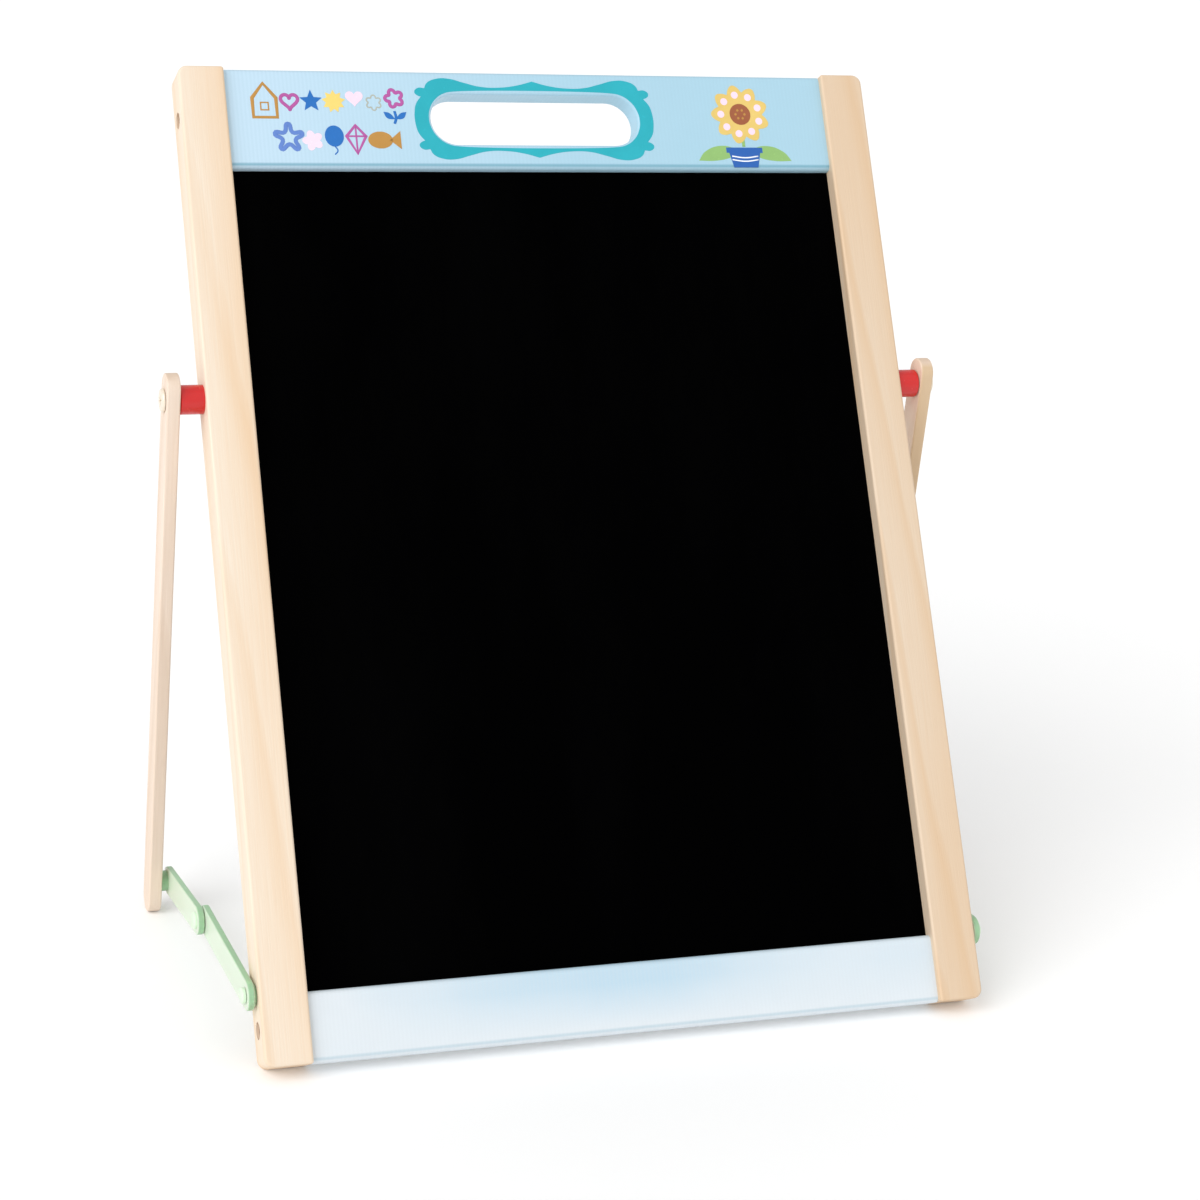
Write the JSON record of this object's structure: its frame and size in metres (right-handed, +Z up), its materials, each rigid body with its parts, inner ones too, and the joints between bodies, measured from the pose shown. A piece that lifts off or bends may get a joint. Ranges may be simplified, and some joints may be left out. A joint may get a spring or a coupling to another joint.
{
  "type": "tabletop easel",
  "caption": "Small double-sided tabletop easel: pine frame with painted rails, a handle slot, a chalkboard and two folding legs held by link braces.",
  "frame": {"origin": "middle of the easel's bounding box, on the floor it stands on", "axes": "+X across the easel, +Y to the back, where the frame leans and the legs stand, +Z up"},
  "size_m": [0.4226, 0.2776, 0.4446],
  "materials": {
    "pine": "sanded pine, clear matt lacquer",
    "leg_pine": "sanded pine, clear matt lacquer",
    "blue_paint": "satin pale blue paint on wood",
    "chalkboard": "matt black chalk coating",
    "dry_erase": "glossy white dry-erase sheet",
    "bronzed_screw": "brown passivated steel",
    "red_plastic": "moulded red plastic",
    "green_plastic": "pale translucent green plastic",
    "brass_insert": "plain brass",
    "rivet_plastic": "pale green-white plastic",
    "zinc_steel": "zinc plated steel"
  },
  "bodies": {
    "root": {"top_rail": "blue_paint", "bottom_rail": "blue_paint", "chalkboard_panel": "chalkboard", "dry_erase_panel": "dry_erase", "top_rail_screws": "bronzed_screw", "bottom_rail_screws": "bronzed_screw", "left_stile": "pine", "right_stile": "pine", "left_pivot_insert": "brass_insert", "right_pivot_insert": "brass_insert", "left_pivot_spacer": "red_plastic", "right_pivot_spacer": "red_plastic", "left_pivot_bolt": "zinc_steel", "right_pivot_bolt": "zinc_steel", "left_brace_stile_screw": "zinc_steel", "right_brace_stile_screw": "zinc_steel"},
    "left_leg_body": {"left_leg": "leg_pine", "left_brace_leg_screw": "zinc_steel"},
    "left_front_link_body": {"left_brace_front_link": "green_plastic", "left_brace_rivet_inner": "rivet_plastic"},
    "left_rear_link_body": {"left_brace_rear_link": "green_plastic", "left_brace_rivet_outer": "rivet_plastic"},
    "right_leg_body": {"right_leg": "leg_pine", "right_brace_leg_screw": "zinc_steel"},
    "right_front_link_body": {"right_brace_front_link": "green_plastic", "right_brace_rivet_inner": "rivet_plastic"},
    "right_rear_link_body": {"right_brace_rear_link": "green_plastic", "right_brace_rivet_outer": "rivet_plastic"}
  },
  "joints": [
    {"name": "left_leg_fold", "type": "hinge", "parent": "root", "child": "left_leg_body", "pos_m": [-0.206, 0.0412, 0.29089], "axis": [-1, 0, 0], "range_deg": [0, 36]},
    {"name": "left_brace_front_swing", "type": "hinge", "parent": "root", "child": "left_front_link_body", "pos_m": [-0.19305, -0.11228, 0.03545], "axis": [1, 0, 0], "range_deg": [0, 62.72]},
    {"name": "left_brace_rear_swing", "type": "hinge", "parent": "left_leg_body", "child": "left_rear_link_body", "pos_m": [-0.19695, 0.06517, 0.01697], "axis": [-1, 0, 0], "range_deg": [0, 76.16]},
    {"name": "right_leg_fold", "type": "hinge", "parent": "root", "child": "right_leg_body", "pos_m": [0.206, 0.0412, 0.29089], "axis": [-1, 0, 0], "range_deg": [0, 36]},
    {"name": "right_brace_front_swing", "type": "hinge", "parent": "root", "child": "right_front_link_body", "pos_m": [0.19305, -0.11228, 0.03545], "axis": [1, 0, 0], "range_deg": [0, 62.72]},
    {"name": "right_brace_rear_swing", "type": "hinge", "parent": "right_leg_body", "child": "right_rear_link_body", "pos_m": [0.19695, 0.06517, 0.01697], "axis": [-1, 0, 0], "range_deg": [0, 76.16]}
  ],
  "couplings": [
    {"joint": "left_brace_front_swing", "follows": "left_leg_fold", "ratio": 1.7409},
    {"joint": "left_brace_rear_swing", "follows": "left_leg_fold", "ratio": 2.114},
    {"joint": "right_brace_front_swing", "follows": "right_leg_fold", "ratio": 1.7409},
    {"joint": "right_brace_rear_swing", "follows": "right_leg_fold", "ratio": 2.114}
  ]
}
